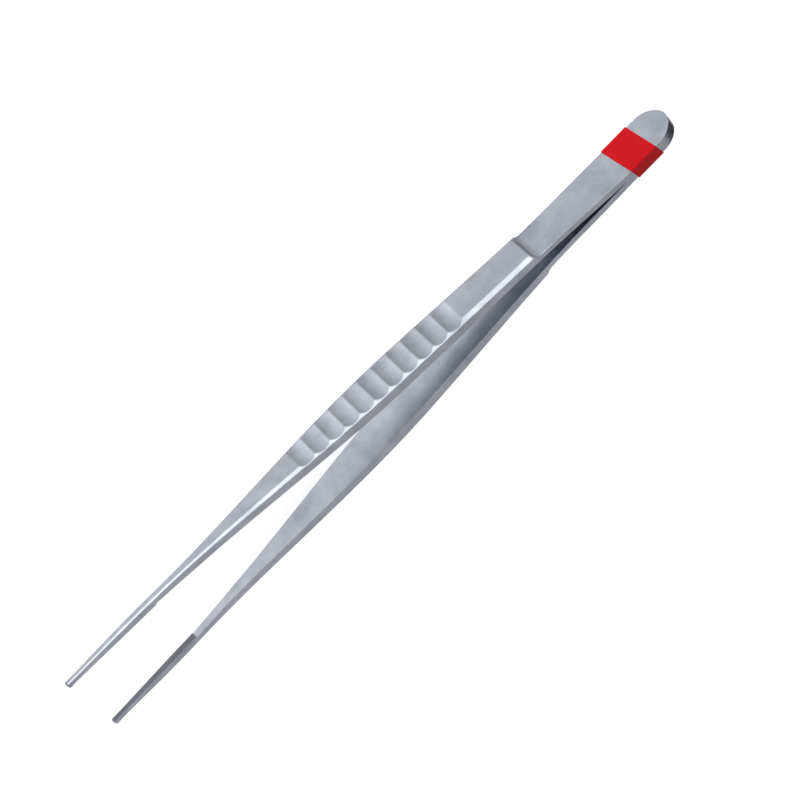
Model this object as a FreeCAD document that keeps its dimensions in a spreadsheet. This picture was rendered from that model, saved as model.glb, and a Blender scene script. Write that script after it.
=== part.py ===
# Thumb forceps with fine-toothed jaws, 200 mm long, lying on its side edges, in millimetres
import FreeCAD, Part
import os
import Sketcher

os.makedirs("parts", exist_ok=True)
doc = FreeCAD.newDocument("thumb_forceps")

# Driving sizes. Places along the arm are measured from the head end.
SIZES = {
    "overall_length": 200.0,
    "head_width": 10.4,
    "head_round": 6.2,
    "head_nose": 4.2,
    "head_thickness": 1.9,
    "weld_length": 17.6,
    "leaf_thickness": 1.55,
    "leaf_angle": 3.0,
    "jaw_angle": 1.0,
    "jaw_opening": 22.0,
    "waist_at": 43.0,
    "waist_width": 9.1,
    "shoulder_at": 45.6,
    "shoulder_thickness": 3.4,
    "shoulder_bevel": 1.05,
    "cove_radius": 2.5,
    "grip_at": 94.0,
    "grip_width": 9.9,
    "grip_thickness": 4.0,
    "grip_bevel": 1.1,
    "flute_start": 70.4,
    "flute_pitch": 4.81,
    "flute_depth": 0.85,
    "jaw_length": 29.0,
    "jaw_width": 1.8,
    "jaw_thickness": 2.6,
    "jaw_bevel": 0.42,
    "tip_width": 1.35,
    "tip_thickness": 1.85,
    "tip_bevel": 0.3,
    "tip_ease": 0.1,
    "nose_reach": 1.0,
    "nose_radius": 1.15,
    "relief_length": 12.0,
    "relief_depth": 0.5,
    "tooth_pitch": 0.6,
    "tooth_depth": 0.2,
    "tooth_crest": 0.06,
    "row_depth": 0.3,
    "rib_width": 0.44,
    "row_clearance": 0.04,
    "band_at": 12.2,
    "band_width": 8.4,
    "band_thickness": 0.2,
    "band_skew": 6.3,
    "band_lean": 9.0,
}
FLUTES = 11
STATIONS = 15
CLEAR = 3.0  # how far a cut runs past the surface that it trims

sheet = doc.addObject("Spreadsheet::Sheet", "Sizes")
for row, (name, value) in enumerate(SIZES.items(), start=1):
    sheet.set(f"A{row}", name)
    sheet.set(f"B{row}", str(value))
    sheet.setAlias(f"B{row}", name)
doc.recompute()

LENGTH = "Sizes.overall_length"
JAW_AT = "(Sizes.overall_length - Sizes.jaw_length)"


def size(expression):
    """The present value of an expression on the driving sizes."""
    return float(sheet.evalExpression(expression.replace("Sizes.", "")))


def blend(x, start, end, first, last):
    """A smooth step from first, at start, to last, at end, with level ends."""
    part = f"max(0; min(1; ({x} - {start}) / ({end} - {start})))"
    return f"({first} + ({last} - {first}) * (3 - 2 * {part}) * {part}^2)"


def along(x, waist, grip, jaw, tip, waist_at):
    """A size that changes smoothly from the waist to the grip, the jaw and the tip."""
    toward_grip = blend(x, waist_at, "Sizes.grip_at", waist, grip)
    toward_jaw = blend(x, "Sizes.grip_at", JAW_AT, grip, jaw)
    toward_tip = blend(x, JAW_AT, LENGTH, jaw, tip)
    return f"({toward_grip} + {toward_jaw} - {grip} + {toward_tip} - {jaw})"


def inner_face(x):
    """Height of the inner face above the middle plane: the arms leave the weld and bow out to the jaws."""
    span = "(Sizes.overall_length - Sizes.weld_length)"
    part = f"max(0; ({x} - Sizes.weld_length) / {span})"
    leave = f"tan(Sizes.leaf_angle) * {part} * (1 - {part})^2"
    arrive = f"tan(Sizes.jaw_angle) * (1 - {part}) * {part}^2"
    return f"({span} * ({leave} - {arrive}) + Sizes.jaw_opening / 2 * (3 - 2 * {part}) * {part}^2)"


def width(x):
    """Width of the arm: the head narrows to a waist, swells at the grip and tapers to the jaw."""
    to_waist = blend(x, "Sizes.weld_length", "Sizes.waist_at", "Sizes.head_width", "Sizes.waist_width")
    rest = along(x, "Sizes.waist_width", "Sizes.grip_width", "Sizes.jaw_width", "Sizes.tip_width", "Sizes.waist_at")
    return f"({to_waist} + {rest} - Sizes.waist_width)"


def thickness(x):
    """Thickness of the forged arm, before the leaf is ground down."""
    sizes = [f"Sizes.{place}_thickness" for place in ("shoulder", "grip", "jaw", "tip")]
    return along(x, *sizes, "Sizes.shoulder_at")


def bevel(x):
    """Width of the bevels along the outer face."""
    sizes = [f"Sizes.{place}_bevel" for place in ("shoulder", "grip", "jaw", "tip")]
    return along(x, *sizes, "Sizes.shoulder_at")


def outer_face(x):
    return f"({inner_face(x)} + {thickness(x)})"


def plane_sketch(body, name, role, offset="0"):
    """A sketch on one of the body's own planes, moved along the plane's normal."""
    sketch = body.newObject("Sketcher::SketchObject", name)
    plane = [feature for feature in body.Origin.OriginFeatures if feature.Role == role][0]
    sketch.AttachmentSupport = [(plane, "")]
    sketch.MapMode = "FlatFace"
    sketch.setExpression("AttachmentOffset.Base.z", offset)
    return sketch


def bind(sketch, kind, where, expression):
    index = sketch.addConstraint(Sketcher.Constraint(kind, *where, size(expression)))
    sketch.setExpression(f"Constraints[{index}]", expression)


def outline(sketch, corners):
    """A closed outline through corners (x, y) or (x, y, radius).

    A radius turns the edge that follows the corner into an arc, to the left where it is positive.
    """
    points = [FreeCAD.Vector(size(corner[0]), size(corner[1]), 0) for corner in corners]
    ends = []
    for index, corner in enumerate(corners):
        start = points[index]
        end = points[(index + 1) % len(points)]
        if len(corner) == 2:
            edge = sketch.addGeometry(Part.LineSegment(start, end))
            ends.append((edge, 1, 2))
            continue
        radius = size(corner[2])
        left = radius > 0
        chord = end - start
        side = FreeCAD.Vector(-chord.y, chord.x, 0).normalize() * (1 if left else -1)
        reach = (radius**2 - (chord.Length / 2) ** 2) ** 0.5
        center = (start + end) * 0.5 + side * reach
        middle = center - side * abs(radius)
        arc = Part.Arc(start, middle, end)
        edge = sketch.addGeometry(arc)
        ends.append((edge, 1, 2) if left else (edge, 2, 1))
        bind(sketch, "Radius", (edge,), corner[2] if left else f"-({corner[2]})")
    for index, corner in enumerate(corners):
        edge, first, last = ends[index]
        following, its_first, its_last = ends[(index + 1) % len(ends)]
        sketch.addConstraint(Sketcher.Constraint("Coincident", edge, last, following, its_first))
        bind(sketch, "DistanceX", (-1, 1, edge, first), corner[0])
        bind(sketch, "DistanceY", (-1, 1, edge, first), corner[1])


def pad(body, sketch, length, back=False):
    feature = body.newObject("PartDesign::Pad", f"{sketch.Name}_pad")
    feature.Profile = sketch
    feature.Reversed = back
    feature.setExpression("Length", length)
    return feature


def cut_through(body, sketch, depth=f"Sizes.head_width + 2 * {CLEAR}"):
    """A cut to both sides of the sketch, right across the arm unless a depth is given."""
    doc.recompute()
    before = body.Shape.Volume
    feature = body.newObject("PartDesign::Pocket", f"{sketch.Name}_cut")
    feature.Profile = sketch
    feature.Midplane = True
    feature.setExpression("Length", depth)
    doc.recompute()
    if body.Shape.Volume >= before:
        raise RuntimeError(f"{feature.Name} removes nothing")
    return feature


def make_head(body):
    """Flat head: a leaf with straight sides and a rounded end of two side arcs and a nose arc."""
    sketch = plane_sketch(body, f"{body.Name}_head", "XZ_Plane")
    half = "Sizes.head_width / 2"
    nose = "Sizes.head_nose"
    run = f"(Sizes.head_round - {nose})"
    side_radius = f"(({run}^2 + ({half})^2 - {nose}^2) / (2 * ({half} - {nose})))"
    share = f"{nose} / ({side_radius} - {nose})"
    meet_x = f"({nose} - {run} * {share})"
    meet_z = f"(({side_radius} - {half}) * {share})"
    outline(
        sketch,
        [
            (meet_x, meet_z, nose),
            (meet_x, f"-{meet_z}", side_radius),
            ("Sizes.head_round", f"-{half}"),
            ("Sizes.weld_length", f"-{half}"),
            ("Sizes.weld_length", half),
            ("Sizes.head_round", half, side_radius),
        ],
    )
    pad(body, sketch, "Sizes.head_thickness", back=True)


def make_section(body, number):
    """One six-sided section of the arm: flat inner face, upright sides, bevels and flat outer face."""
    x = f"(Sizes.weld_length + (Sizes.overall_length - Sizes.weld_length) * {number} / {STATIONS - 1})"
    sketch = plane_sketch(body, f"{body.Name}_section_{number}", "YZ_Plane", x)
    side = f"({width(x)} / 2)"
    top_side = f"({side} - {bevel(x)})"
    wall = f"({outer_face(x)} - {bevel(x)})"
    outline(
        sketch,
        [
            (inner_face(x), f"-{side}"),
            (wall, f"-{side}"),
            (outer_face(x), f"-{top_side}"),
            (outer_face(x), top_side),
            (wall, side),
            (inner_face(x), side),
        ],
    )
    return sketch


def make_arm_blank(body):
    """The forged arm from the weld to the tip, one smooth loft through its sections."""
    sections = [make_section(body, number) for number in range(STATIONS)]
    loft = body.newObject("PartDesign::AdditiveLoft", f"{body.Name}_blank")
    loft.Profile = sections[0]
    loft.Sections = sections[1:]


def grind_leaf(body):
    """The spring leaf thins from the head to the shoulder, where a cove leads up to the thick grip."""
    sketch = plane_sketch(body, f"{body.Name}_leaf", "XY_Plane")
    over = f"({outer_face('Sizes.shoulder_at')} + {CLEAR})"
    foot = f"({inner_face('Sizes.shoulder_at')} + Sizes.leaf_thickness)"
    climb = f"({over} - {foot})"
    run = f"sqrt(2 * Sizes.cove_radius * {climb} - {climb}^2)"
    outline(
        sketch,
        [
            ("Sizes.weld_length", "Sizes.head_thickness"),
            ("Sizes.shoulder_at", foot, "Sizes.cove_radius"),
            (f"(Sizes.shoulder_at + {run})", over),
            ("Sizes.weld_length", over),
        ],
    )
    cut_through(body, sketch)


def cut_flutes(body):
    """Thumb grip: a chain of hollow arcs across the outer face that meet in sharp ridges."""
    sketch = plane_sketch(body, f"{body.Name}_flutes", "XY_Plane")
    radius = "(Sizes.flute_pitch^2 / (8 * Sizes.flute_depth) + Sizes.flute_depth / 2)"
    corners = []
    for number in range(FLUTES + 1):
        x = f"(Sizes.flute_start + {number} * Sizes.flute_pitch)"
        corners.append((x, outer_face(x), radius))
    last = f"(Sizes.flute_start + {FLUTES} * Sizes.flute_pitch)"
    over = f"({outer_face(last)} + {CLEAR})"
    corners[-1] = corners[-1][:2]
    corners += [(last, over), ("Sizes.flute_start", over)]
    outline(sketch, corners)
    cut_through(body, sketch)


def relieve_jaw(body):
    """Behind the teeth the inner face is ground back, so that only the jaws meet."""
    sketch = plane_sketch(body, f"{body.Name}_relief", "XY_Plane")
    start = f"({JAW_AT} - Sizes.relief_length)"
    below = f"({inner_face(start)} - {CLEAR})"
    outline(
        sketch,
        [
            (start, below),
            (JAW_AT, below),
            (JAW_AT, f"({inner_face(JAW_AT)} + Sizes.relief_depth)"),
            (start, inner_face(start)),
        ],
    )
    cut_through(body, sketch)


def round_tip(body):
    """The tip is rounded seen from above and on its outer corner."""
    sketch = plane_sketch(body, f"{body.Name}_tip", "XZ_Plane")
    radius = "(Sizes.tip_width / 2 + Sizes.tip_ease)"
    side = "(Sizes.tip_width / 2 + Sizes.tip_ease / 2)"
    start = f"({LENGTH} - {radius} + sqrt({radius}^2 - {side}^2))"
    past = f"({LENGTH} + {CLEAR})"
    outline(
        sketch,
        [
            (start, f"-{side}", radius),
            (start, side),
            (start, f"{CLEAR}"),
            (past, f"{CLEAR}"),
            (past, f"-{CLEAR}"),
            (start, f"-{CLEAR}"),
        ],
    )
    cut_through(body, sketch, f"2 * ({outer_face(LENGTH)} + {CLEAR})")
    nose = plane_sketch(body, f"{body.Name}_nose", "XY_Plane")
    top = outer_face(LENGTH)
    foot = f"({top} - Sizes.nose_reach)"
    back = f"({LENGTH} - Sizes.nose_reach)"
    outline(
        nose,
        [
            (LENGTH, foot, "Sizes.nose_radius"),
            (back, top),
            (back, f"({top} + {CLEAR})"),
            (past, f"({top} + {CLEAR})"),
            (past, foot),
        ],
    )
    cut_through(body, nose)


def jaw_step(body, name, middle, across):
    """A long shallow step ground into the jaw face, centred on a height across the jaw."""
    sketch = plane_sketch(body, f"{body.Name}_{name}", "XY_Plane", middle)
    past = f"({LENGTH} + {CLEAR})"
    below = f"({inner_face(JAW_AT)} - {CLEAR})"
    outline(
        sketch,
        [
            (JAW_AT, below),
            (past, below),
            (past, f"({inner_face(LENGTH)} + Sizes.row_depth)"),
            (JAW_AT, f"({inner_face(JAW_AT)} + Sizes.row_depth)"),
        ],
    )
    cut_through(body, sketch, across)


def cut_teeth(body):
    """Fine cross notches along the jaw face, one cut repeated toward the tip."""
    sketch = plane_sketch(body, f"{body.Name}_notch", "XY_Plane")
    first = f"({JAW_AT} + Sizes.tooth_pitch)"
    face = inner_face(first)
    flank = "(Sizes.tooth_pitch - Sizes.tooth_crest)"
    below = f"({face} - Sizes.tooth_depth)"
    outline(
        sketch,
        [
            (f"({first} - {flank})", below),
            (f"({first} + {flank})", below),
            (first, f"({face} + Sizes.tooth_depth)"),
        ],
    )
    ends = ((first, face), (LENGTH, inner_face(LENGTH)))
    points = [FreeCAD.Vector(size(x), size(y), 0) for x, y in ends]
    line = sketch.addGeometry(Part.LineSegment(*points), True)
    for number, (x, y) in enumerate(ends, start=1):
        bind(sketch, "DistanceX", (-1, 1, line, number), x)
        bind(sketch, "DistanceY", (-1, 1, line, number), y)
    notch = cut_through(body, sketch)
    row = body.newObject("PartDesign::LinearPattern", f"{body.Name}_teeth")
    row.Originals = [notch]
    row.Direction = (sketch, ["Axis0"])
    teeth = "floor(Sizes.jaw_length / Sizes.tooth_pitch - 2)"
    row.setExpression("Occurrences", teeth)
    row.setExpression("Length", f"Sizes.tooth_pitch * ({teeth} - 1)")
    body.Tip = row


def make_arm(name):
    body = doc.addObject("PartDesign::Body", name)
    body.Label = name
    doc.recompute()
    make_head(body)
    make_arm_blank(body)
    grind_leaf(body)
    cut_flutes(body)
    relieve_jaw(body)
    round_tip(body)
    return body


def make_double_row_arm():
    """Two rows of teeth with a groove between them."""
    body = make_arm("arm_double_row")
    cut_teeth(body)
    jaw_step(body, "groove", "0", "Sizes.rib_width + 2 * Sizes.row_clearance")
    return body


def make_single_row_arm():
    """One raised row of teeth that closes into the groove of the other arm."""
    body = make_arm("arm_single_row")
    cut_teeth(body)
    middle = "(Sizes.rib_width / 2 + Sizes.jaw_width)"
    jaw_step(body, "upper_shelf", middle, "2 * Sizes.jaw_width")
    jaw_step(body, "lower_shelf", f"-{middle}", "2 * Sizes.jaw_width")
    return body


def make_box(name, length, across, height, turn="rotation(vector(1; 0; 0); 0)"):
    """A box centred on its own origin and turned about it."""
    box = doc.addObject("Part::Box", name)
    for side, expression in (("Length", length), ("Width", across), ("Height", height)):
        box.setExpression(side, expression)
    corner = f"vector(-({length}) / 2; -({across}) / 2; -({height}) / 2)"
    box.setExpression("Placement", f"placement({turn} * {corner}; {turn})")
    return box


def make_colour_band():
    """Thin red sleeve round both halves of the head, wrapped a little askew.

    A long sleeve is trimmed by a slab that is turned about two axes, so both its ends slant.
    """
    across = "2 * Sizes.head_thickness"
    walls = "2 * Sizes.band_thickness"
    blank = "Sizes.band_width + 2 * Sizes.head_width"
    outside = make_box("band_outside", blank, f"{across} + {walls}", f"Sizes.head_width + {walls}")
    inside = make_box("band_inside", f"{blank} + 2 * {CLEAR}", across, "Sizes.head_width")
    sleeve = doc.addObject("Part::Cut", "band_sleeve")
    sleeve.Base = outside
    sleeve.Tool = inside
    skew = "rotation(vector(0; 1; 0); -Sizes.band_skew)"
    lean = "rotation(vector(0; 0; 1); Sizes.band_lean)"
    reach = "2 * Sizes.head_width"
    slab = make_box("band_slab", "Sizes.band_width", reach, reach, f"{skew} * {lean}")
    band = doc.addObject("Part::Common", "colour_band")
    band.Base = sleeve
    band.Tool = slab
    band.Label = "colour_band"
    return band


def place(piece, x, turn):
    """Lay a piece on its side edges, with the middle of the whole object at the origin."""
    piece.setExpression("Placement.Base.x", x)
    piece.setExpression("Placement.Base.z", "Sizes.head_width / 2 + Sizes.band_thickness")
    piece.Placement.Rotation = FreeCAD.Rotation(FreeCAD.Vector(1, 0, 0), turn)


double_row = make_double_row_arm()
single_row = make_single_row_arm()
band = make_colour_band()
place(double_row, "-Sizes.overall_length / 2", 180)
place(single_row, "-Sizes.overall_length / 2", 0)
place(band, "Sizes.band_at - Sizes.overall_length / 2", 0)
doc.recompute()

for item in doc.Objects:
    if "Invalid" in item.State or "Error" in item.State:
        raise RuntimeError(f"{item.Name} failed: {item.State}")
for piece in (double_row, single_row, band):
    shape = piece.Shape
    if shape.isNull() or not shape.isValid():
        raise RuntimeError(f"{piece.Label} has no valid shape")
    if len(shape.Solids) != 1:
        raise RuntimeError(f"{piece.Label} has {len(shape.Solids)} solids")
    shape.exportStep(f"parts/{piece.Label}.step")
    box = shape.BoundBox
    print(piece.Label, round(shape.Volume, 1), len(shape.Faces), box)
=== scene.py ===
# %% [markdown]
# # Thumb forceps on a white table
#
# The object is a pair of slim spring forceps, 200 mm long, that lie on their side edges. Two forged arms
# of satin stainless steel are welded together at a flat head, and a red band is wrapped round the head.
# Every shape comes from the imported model, so this file gives finishes, light and a camera.

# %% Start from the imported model
import math

import bpy
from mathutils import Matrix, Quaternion, Vector


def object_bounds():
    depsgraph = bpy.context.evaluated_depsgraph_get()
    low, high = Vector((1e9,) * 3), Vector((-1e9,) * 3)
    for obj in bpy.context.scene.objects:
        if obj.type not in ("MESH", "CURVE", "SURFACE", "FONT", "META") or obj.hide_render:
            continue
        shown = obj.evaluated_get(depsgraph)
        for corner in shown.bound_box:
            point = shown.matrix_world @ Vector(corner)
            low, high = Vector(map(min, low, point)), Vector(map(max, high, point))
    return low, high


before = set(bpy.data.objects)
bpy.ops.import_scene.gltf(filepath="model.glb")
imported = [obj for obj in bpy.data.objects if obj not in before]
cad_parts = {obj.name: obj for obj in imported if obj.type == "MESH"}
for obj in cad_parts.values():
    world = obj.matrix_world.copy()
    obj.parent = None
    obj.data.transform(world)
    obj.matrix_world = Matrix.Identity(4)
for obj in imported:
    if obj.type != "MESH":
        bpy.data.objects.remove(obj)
cad_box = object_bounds()
MM = 0.001
low, high = cad_box
print("box in mm", [round(side / MM, 2) for side in high - low])

# %% [markdown]
# ## Colours as a maker writes them
#
# Paint charts and photographs give colours as sRGB hex values, and the renderer counts in linear light.
# One function turns the one into the other, so each colour below can be read as it would look on a
# screen.

# %% Hex colours to linear light
def colour(code):
    """Linear RGBA of a hex colour such as "#AEB1B6", by the sRGB standard."""
    parts = [int(code[place : place + 2], 16) / 255 for place in (1, 3, 5)]
    return [part / 12.92 if part <= 0.04045 else ((part + 0.055) / 1.055) ** 2.4 for part in parts] + [1.0]


print("a mid grey in linear light is", round(colour("#808080")[0], 3))

# %% [markdown]
# ## One helper for all the nodes
#
# A material is a small graph. This helper adds one node, sets what it is given, and links an input
# wherever the value is another node's output. The finishes then read like a recipe, from the texture to
# the shader.

# %% Add a node
def add(tree, kind, inputs=None, **settings):
    """Adds a shader node; inputs are values or other nodes' outputs, by socket name or number."""
    made = tree.nodes.new(f"ShaderNode{kind}")
    for name, value in settings.items():
        setattr(made, name, value)
    for socket, value in (inputs or {}).items():
        if isinstance(value, bpy.types.NodeSocket):
            tree.links.new(value, made.inputs[socket])
        else:
            made.inputs[socket].default_value = value
    return made


def new_material(name):
    """An empty material and its node tree."""
    material = bpy.data.materials.new(name)
    material.use_nodes = True
    material.node_tree.nodes.clear()
    return material, material.node_tree


# %% [markdown]
# ## Where on an arm a point lies
#
# The finish of a real arm changes from place to place. The polishing wheel reaches its outer edges and
# not its inner ones, and the toothed faces of the jaws are rougher and get a painted shade. So the
# material has to know which way a face looks and how far along the arm it is. Painted masks could say so,
# but they need unwrapped faces. The model's own frame is enough: Y is measured from the middle plane
# between the arms, so that on an outer face the place and the normal point the same way, and X runs from
# the head to the tips.

# %% Sides of an arm
SIDE_FACING = 0.5 * MM  # distance from the middle plane, times how squarely the face looks away from it


def arm_sides(tree, place):
    """1 on faces turned away from the other arm, 1 on faces turned to it, and how far along the arm."""
    spot = add(tree, "SeparateXYZ", {0: place})
    facing = add(tree, "SeparateXYZ", {0: add(tree, "NewGeometry").outputs["True Normal"]})
    away = add(tree, "Math", {0: spot.outputs["Y"], 1: facing.outputs["Y"]}, operation="MULTIPLY")
    outer = add(tree, "Math", {0: away.outputs[0], 1: SIDE_FACING}, operation="GREATER_THAN")
    inner = add(tree, "Math", {0: away.outputs[0], 1: -SIDE_FACING}, operation="LESS_THAN")
    return outer.outputs[0], inner.outputs[0], spot.outputs["X"]


# %% [markdown]
# ## Faint clouds in the steel
#
# The arms are forged from hardenable stainless steel, ground to shape and then brushed to a satin finish,
# so that they don't dazzle under a theatre lamp. To the eye that is a soft, slightly blue grey, a little
# lighter in some places than in others. An image of steel could show that, but noise of a few millimetres
# needs no picture and runs over every face without a seam.

# %% Clouded steel
STEEL = "#979CA5"
STEEL_CLOUD = "#BEC2CA"
CLOUD_SIZE = 7 * MM
CLOUDS = {"Scale": 1 / CLOUD_SIZE, "Detail": 6.0, "Roughness": 0.62}
CLOUD_SPREAD = {"From Min": 0.25, "From Max": 0.75, "To Min": 0.0, "To Max": 1.0}


def clouded_steel(tree, place):
    """The colour of the polished steel."""
    clouds = add(tree, "TexNoise", {"Vector": place, **CLOUDS})
    lighter = add(tree, "MapRange", {"Value": clouds.outputs["Fac"], **CLOUD_SPREAD})
    shades = {"Factor": lighter.outputs["Result"], "A": colour(STEEL), "B": colour(STEEL_CLOUD)}
    return add(tree, "Mix", shades, data_type="RGBA").outputs["Result"]


# %% [markdown]
# ## The brushed grain
#
# The last polishing belt leaves fine marks along the arm, which blur what the steel reflects. Anisotropic
# shading would suit marks too fine to see, but it needs a tangent on every face. Noise stretched along
# the arm shows the same direction, in the roughness and as a very slight relief.

# %% Brushed grain
GRAIN_WIDTH = 0.45 * MM  # real brush marks are about 0.05 mm wide, too fine to show at this distance
GRAIN = {"Scale": 1 / GRAIN_WIDTH, "Detail": 2.0}
GRAIN_STRETCH = (0.08, 1.0, 1.0)
GRAIN_ROUGHNESS = {"To Min": 0.26, "To Max": 0.36}
GRAIN_DEPTH = 0.008 * MM


def brushed_grain(tree, place):
    """The height of the brush marks, from 0 to 1, and the roughness that they give."""
    stretched = add(tree, "Mapping", {"Vector": place, "Scale": GRAIN_STRETCH})
    grain = add(tree, "TexNoise", {"Vector": stretched.outputs[0], **GRAIN}).outputs["Fac"]
    satin = add(tree, "MapRange", {"Value": grain, **GRAIN_ROUGHNESS})
    return grain, satin.outputs["Result"]


# %% [markdown]
# ## The toothed faces of the jaws
#
# The inner faces of the jaws get painted shade, a darker colour for the shade among the teeth, and are
# rougher than the rest. A second material could go on those faces, but they would have to be sorted into a
# slot of their own. A mask from the inner side and the place along the arm keeps one material.

# %% Jaw faces
JAW_STARTS = 71 * MM
# Painted shade: the toothed jaw faces are coloured darker to stand in for the shade among the teeth
JAW_PAINTED_SHADE = "#75787E"
JAW_ROUGHNESS = 0.42


def jaw_faces(tree, inner, along):
    """1 on the toothed inner faces of the jaws, where shade among the teeth is painted, and 0 elsewhere.
    """
    past = add(tree, "Math", {0: along, 1: JAW_STARTS}, operation="GREATER_THAN")
    jaw = add(tree, "Math", {0: past.outputs[0], 1: inner}, operation="MULTIPLY")
    return jaw.outputs[0]


# %% [markdown]
# ## Edges from the polishing wheel
#
# The wheel rounds the outer edges most on the broad grip, and less and less toward the tips. The flat
# inner faces are never held against it, so their edges stay crisp. A Bevel modifier would cut new faces
# along every edge. The Bevel node only turns the normals near an edge, which is what catches the light,
# and its radius can change along the arm.

# %% Rounded edges
GRIP_BEGINS = {"From Min": -60 * MM, "From Max": -57 * MM, "To Min": 0.0, "To Max": 1.0}
GRIP_ENDS = {"From Min": 24 * MM, "From Max": 97 * MM, "To Min": 1.0, "To Max": 0.0}
GRIP_EDGE = 0.8 * MM
OUTER_EDGE = 0.12 * MM
INNER_EDGE = 0.04 * MM
ARM_EDGE_SAMPLES = 16


def rounded_edges(tree, outer, along):
    """Normals that turn round the edges, widest on the outer edges of the grip."""
    begins = add(tree, "MapRange", {"Value": along, **GRIP_BEGINS}).outputs["Result"]
    ends = add(tree, "MapRange", {"Value": along, **GRIP_ENDS}).outputs["Result"]
    grip = add(tree, "Math", {0: begins, 1: ends}, operation="MULTIPLY")
    outer_edge = add(tree, "Mix", {"Factor": grip.outputs[0], "A": OUTER_EDGE, "B": GRIP_EDGE})
    radius = add(tree, "Mix", {"Factor": outer, "A": INNER_EDGE, "B": outer_edge.outputs["Result"]})
    edges = add(tree, "Bevel", {"Radius": radius.outputs["Result"]}, samples=ARM_EDGE_SAMPLES)
    return edges.outputs["Normal"]


# %% [markdown]
# ## Satin stainless steel on both arms
#
# Both arms are forged from one steel and polished alike, so one material serves them both. The clouds,
# the grain, the jaw mask and the edges above meet in one metallic shader. Its index of refraction stays
# at the default, because the colour of a metal already says how it reflects.

# %% Satin steel
def satin_steel():
    material, tree = new_material("satin_stainless_steel")
    place = add(tree, "TexCoord").outputs["Object"]
    outer, inner, along = arm_sides(tree, place)
    jaw = jaw_faces(tree, inner, along)
    grain, satin = brushed_grain(tree, place)
    # The jaw faces take a darker colour, a painted shade among the teeth, and more roughness
    shades = {"Factor": jaw, "A": clouded_steel(tree, place), "B": colour(JAW_PAINTED_SHADE)}
    steel_with_painted_jaw_shade = add(tree, "Mix", shades, data_type="RGBA")
    sheen = add(tree, "Mix", {"Factor": jaw, "A": satin, "B": JAW_ROUGHNESS})
    edges = rounded_edges(tree, outer, along)
    relief = add(tree, "Bump", {"Height": grain, "Distance": GRAIN_DEPTH, "Normal": edges})
    metal = {
        "Base Color": steel_with_painted_jaw_shade.outputs["Result"],
        "Metallic": 1.0,
        "Roughness": sheen.outputs["Result"],
        "Normal": relief.outputs["Normal"],
    }
    add(tree, "OutputMaterial", {"Surface": add(tree, "BsdfPrincipled", metal).outputs[0]})
    return material


steel = satin_steel()
for name in ("arm_double_row", "arm_single_row"):
    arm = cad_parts[name]
    for slot in arm.material_slots:
        slot.material = steel
    print(name, "has", len(arm.data.polygons), "faces in", steel.name)

# %% [markdown]
# ## The red band
#
# Theatres mark their instruments with a coloured polymer band at the head. It is smooth and a little
# soft, so its gloss is faint and not sharp, and its surface has the slight waves of a film that was drawn
# tight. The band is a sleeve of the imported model, so it needs no modelling here: noise gives the waves,
# and its edges are rounded by shading like those of the arms.

# %% Smooth red polymer
RED = "#D4141D"
POLYMER_IOR = 1.5
POLYMER_GLOSS = 0.12
POLYMER_ROUGHNESS = 0.3
WAVE_SIZE = 3 * MM
WAVES = {"Scale": 1 / WAVE_SIZE, "Detail": 1.0}
WAVE_DEPTH = 0.02 * MM
BAND_EDGE = 0.15 * MM
BAND_EDGE_SAMPLES = 8


def red_polymer():
    material, tree = new_material("red_marking_polymer")
    place = add(tree, "TexCoord").outputs["Object"]
    waves = add(tree, "TexNoise", {"Vector": place, **WAVES}).outputs["Fac"]
    edges = add(tree, "Bevel", {"Radius": BAND_EDGE}, samples=BAND_EDGE_SAMPLES).outputs["Normal"]
    relief = add(tree, "Bump", {"Height": waves, "Distance": WAVE_DEPTH, "Normal": edges})
    film = {
        "Base Color": colour(RED),
        "Roughness": POLYMER_ROUGHNESS,
        "IOR": POLYMER_IOR,
        "Specular IOR Level": POLYMER_GLOSS,
        "Normal": relief.outputs["Normal"],
    }
    add(tree, "OutputMaterial", {"Surface": add(tree, "BsdfPrincipled", film).outputs[0]})
    return material


red = red_polymer()
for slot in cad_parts["colour_band"].material_slots:
    slot.material = red
print("colour_band is in", red.name)

# %% [markdown]
# ## What the eye sees, and what lights the object
#
# A product photograph shows its table as pure white, and more light on the table would also be more light
# on the object. So the table and the room look at what kind of ray asks. The camera, and what it sees in
# a mirror or through glass, get one answer, and light that spreads between matt surfaces gets another.

# %% Rays of the eye
WHITE = "#FFFFFF"


def seen_by_eye(tree):
    """1 for what the camera, a mirror or a glass sees, and 0 for light that spreads from matt surfaces."""
    path = add(tree, "LightPath").outputs
    mirror = add(tree, "Math", {0: path["Is Camera Ray"], 1: path["Is Glossy Ray"]}, operation="MAXIMUM")
    glass = add(tree, "Math", {0: mirror.outputs[0], 1: path["Is Transmission Ray"]}, operation="MAXIMUM")
    return glass.outputs[0]


# %% [markdown]
# ## A white table
#
# The forceps lie on a plain matt surface. It adds a little light of its own to what the eye sees, which
# makes it white, and its lit part is real, so the shadow under the arms stays. The steel doesn't mirror
# it: the arms lie so close to the table that it would fill every reflection and wash the flutes out, so
# mirrors look past it into the room.

# %% Floor
FLOOR_SIDE = 12.0
FLOOR_WHITE = "#F2F2F2"
FLOOR_GLOW = 0.72


def white_table():
    material, tree = new_material("matt_white_table")
    glow = add(tree, "Math", {0: seen_by_eye(tree), 1: FLOOR_GLOW}, operation="MULTIPLY")
    paint = {
        "Base Color": colour(FLOOR_WHITE),
        "Roughness": 1.0,
        "Specular IOR Level": 0.0,
        "Emission Color": colour(WHITE),
        "Emission Strength": glow.outputs[0],
    }
    add(tree, "OutputMaterial", {"Surface": add(tree, "BsdfPrincipled", paint).outputs[0]})
    return material


def flat_card(name, width, height):
    """A flat rectangle round its own origin, facing its own +Z."""
    mesh = bpy.data.meshes.new(name)
    x, y = width / 2, height / 2
    mesh.from_pydata([(-x, -y, 0), (x, -y, 0), (x, y, 0), (-x, y, 0)], [], [(0, 1, 2, 3)])
    card = bpy.data.objects.new(name, mesh)
    bpy.context.scene.collection.objects.link(card)
    return card


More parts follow.
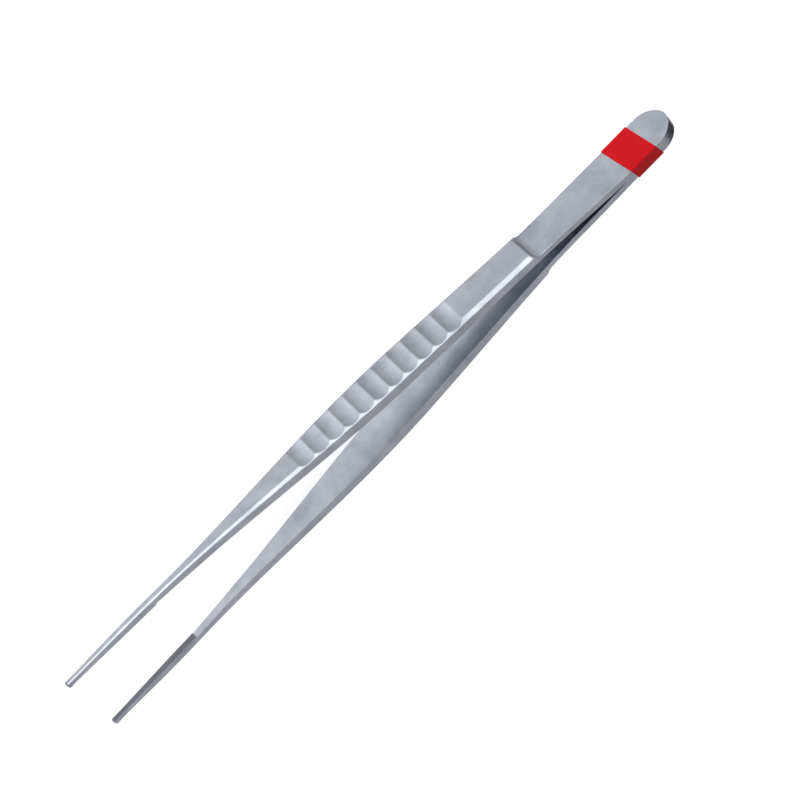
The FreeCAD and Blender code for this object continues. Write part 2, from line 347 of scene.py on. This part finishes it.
floor = flat_card("floor", FLOOR_SIDE, FLOOR_SIDE)
floor.location.z = low.z
floor.visible_glossy = False
floor.data.materials.append(white_table())
print("floor at", floor.location.z)

# %% [markdown]
# ## A room that is darker at the head end
#
# Polished metal is drawn by what it reflects. The forceps in the photograph are light where they face the
# tips and dark where they face the head, most clearly in the flutes of the grip. A picture of a studio
# could do that, but two plain fades are enough. What mirrors see goes evenly from dark past the head to
# bright past the tips, and is dimmer on the far side. Matt surfaces see an even room.

# %% Room
ROOM_LIGHT = 0.33
ROOM_ALONG = {"From Min": -0.9, "From Max": 0.8, "To Min": 0.6, "To Max": 1.45}
ROOM_ACROSS = {"From Min": -0.3, "From Max": 0.5, "To Min": 1.0, "To Max": 0.6}


def fading_room():
    """The world: an even light for matt surfaces, and fades by direction for the eye."""
    world = bpy.data.worlds.new("fading_room")
    bpy.context.scene.world = world
    world.use_nodes = True
    tree = world.node_tree
    tree.nodes.clear()
    direction = add(tree, "SeparateXYZ", {0: add(tree, "TexCoord").outputs["Generated"]}).outputs
    along = add(tree, "MapRange", {"Value": direction["X"], **ROOM_ALONG}).outputs["Result"]
    across = add(tree, "MapRange", {"Value": direction["Y"], **ROOM_ACROSS}).outputs["Result"]
    mirrored = add(tree, "Math", {0: along, 1: across}, operation="MULTIPLY").outputs[0]
    levels = {"Value": seen_by_eye(tree), "To Min": ROOM_LIGHT, "To Max": mirrored}
    strength = add(tree, "MapRange", levels).outputs["Result"]
    air = add(tree, "Background", {"Color": colour(WHITE), "Strength": strength})
    add(tree, "OutputWorld", {"Surface": air.outputs[0]})


fading_room()
print("room fades from", ROOM_ALONG["To Min"], "to", ROOM_ALONG["To Max"])

# %% [markdown]
# ## One lamp low in front
#
# One soft lamp low in front lights the table and the band. A small bare lamp would give hard shadows,
# which the photograph doesn't have. The steel doesn't mirror it, because its edges would then glitter.

# %% Lamp
LAMP_SIZE = (1.0, 0.3)
LAMP_TOWARD = Vector((0.0, -1.0, 0.2))
LAMP_RADIANCE = 9.5
AWAY = 1.2
middle = (low + high) / 2


def aim(thing, toward):
    """Puts a thing at a distance from the forceps, facing them: a lamp by its -Z, a card by its +Z."""
    direction = toward.normalized()
    thing.location = middle + direction * AWAY
    axis = "-Z" if thing.type == "LIGHT" else "Z"
    thing.rotation_mode = "QUATERNION"
    thing.rotation_quaternion = (-direction).to_track_quat(axis, "Y")


def soft_lamp(name, toward, size, radiance):
    """A rectangular lamp of a set brightness, which only matt surfaces see."""
    lamp = bpy.data.lights.new(name, "AREA")
    lamp.shape = "RECTANGLE"
    lamp.size, lamp.size_y = size
    lamp.energy = radiance * math.pi * size[0] * size[1]
    thing = bpy.data.objects.new(name, lamp)
    bpy.context.scene.collection.objects.link(thing)
    aim(thing, toward)
    thing.visible_glossy = False
    print(name, "gives", round(lamp.energy, 2), "W")


soft_lamp("lamp_low_in_front", LAMP_TOWARD, LAMP_SIZE, LAMP_RADIANCE)

# %% [markdown]
# ## Three cards for the reflections
#
# Beside polished metal a photographer holds white and black cards, to draw its edges. A white one above
# the near side makes the bevels bright. A black one past the head darkens the rim of the rounded end, and
# another past the tips darkens the noses of the jaws. Bright lamps could draw the bevels too, but they
# would light the table as well, and the cards show only in reflections.

# %% Cards
# Where each card stands as seen from the forceps, its width and height in metres, and its brightness
CARDS = {
    "card_over_near_side": (Vector((0.0, -0.62, 0.78)), (1.0, 1.2), 2.3),
    "card_past_head": (Vector((-0.72, 0.68, 0.05)), (0.9, 1.0), 0.05),
    "card_past_tips": (Vector((0.85, 0.35, -0.25)), (1.2, 1.2), 0.03),
}


def mirror_card(name, toward, size, brightness):
    """A card that only mirrors see."""
    material, tree = new_material(f"{name}_paint")
    light = add(tree, "Emission", {"Color": colour(WHITE), "Strength": brightness})
    add(tree, "OutputMaterial", {"Surface": light.outputs[0]})
    card = flat_card(name, *size)
    card.data.materials.append(material)
    aim(card, toward)
    card.visible_camera = False
    card.visible_diffuse = False
    card.visible_shadow = False
    print(name, "has brightness", brightness)


for name, card in CARDS.items():
    mirror_card(name, *card)

# %% [markdown]
# ## The camera
#
# The photograph looks down at the side of the forceps from about a metre away with a long lens, and is
# turned so that the head is at the upper right. A nearer camera with a shorter lens would show the near
# arm too large. The lens length follows from how large a millimetre shows at that distance.

# %% Camera
FRAME_PIXELS = 800
PIXELS_PER_MM = 4.123
CAMERA_AWAY = 0.973
CAMERA_AZIMUTH = math.radians(1.29)
CAMERA_ELEVATION = math.radians(37.0)
CAMERA_ROLL = math.radians(133.68)
LOOK_AT = Vector((-5.16 * MM, 0.0, 7.77 * MM))
SENSOR = 36.0  # millimetres, as the lens length is

level = math.cos(CAMERA_ELEVATION)
back = Vector(
    (math.sin(CAMERA_AZIMUTH) * level, -math.cos(CAMERA_AZIMUTH) * level, math.sin(CAMERA_ELEVATION))
)
lens = bpy.data.cameras.new("camera")
lens.sensor_width = SENSOR
lens.lens = SENSOR * CAMERA_AWAY * PIXELS_PER_MM / MM / FRAME_PIXELS
camera = bpy.data.objects.new("camera", lens)
camera.location = LOOK_AT + back * CAMERA_AWAY
camera.rotation_mode = "QUATERNION"
camera.rotation_quaternion = (-back).to_track_quat("-Z", "Y") @ Quaternion((0, 0, 1), CAMERA_ROLL)
bpy.context.scene.collection.objects.link(camera)
bpy.context.scene.camera = camera
bpy.context.scene.view_settings.view_transform = "Standard"
print("lens", round(lens.lens, 1), "mm")
